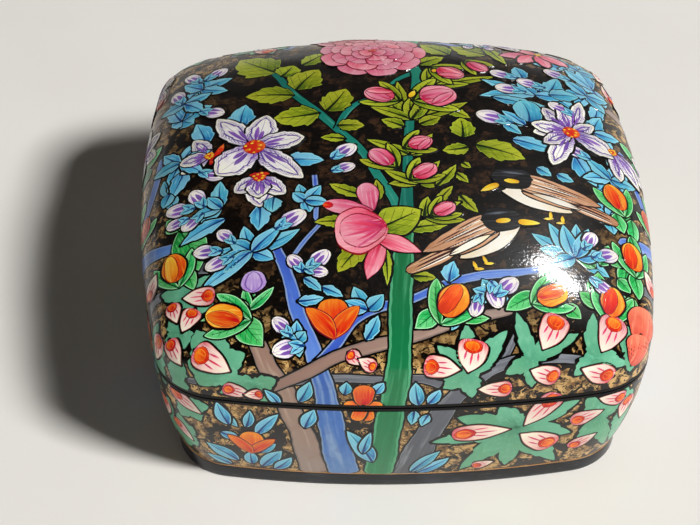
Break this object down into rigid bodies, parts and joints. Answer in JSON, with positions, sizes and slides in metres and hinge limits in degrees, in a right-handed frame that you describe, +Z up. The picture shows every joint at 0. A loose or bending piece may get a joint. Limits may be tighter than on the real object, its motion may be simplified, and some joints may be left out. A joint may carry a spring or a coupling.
{
  "type": "papier mache box",
  "caption": "Small pillow-shaped lidded box of moulded paper pulp with a lift-off domed lid, seat collar, black foot band and lacquered painted finish.",
  "frame": {"origin": "on the table, under the middle of the foot", "axes": "+Z up out of the lid's crown, -Y towards the side that faces the viewer"},
  "size_m": [0.127, 0.127, 0.0585],
  "materials": {
    "painted_pulp": "moulded paper pulp, painted and varnished to a high gloss",
    "black_lacquer": "pasted paper lining under black lacquer",
    "black_edge": "bound paper strip under black lacquer",
    "collar_card": "card strip, lacquered dark, satin",
    "underside_board": "pasted board, painted black, satin"
  },
  "bodies": {
    "base": {"base_shell": "painted_pulp", "base_lining": "black_lacquer", "base_edge": "black_edge", "seat_collar": "collar_card", "foot_band": "black_edge", "base_board": "underside_board"},
    "lid": {"lid_shell": "painted_pulp", "lid_lining": "black_lacquer", "lid_edge": "black_edge"}
  },
  "joints": [
    {"name": "lid_lift", "type": "slide", "parent": "base", "child": "lid", "axis": [0, 0, 1], "range_m": [0, 0.07]}
  ]
}
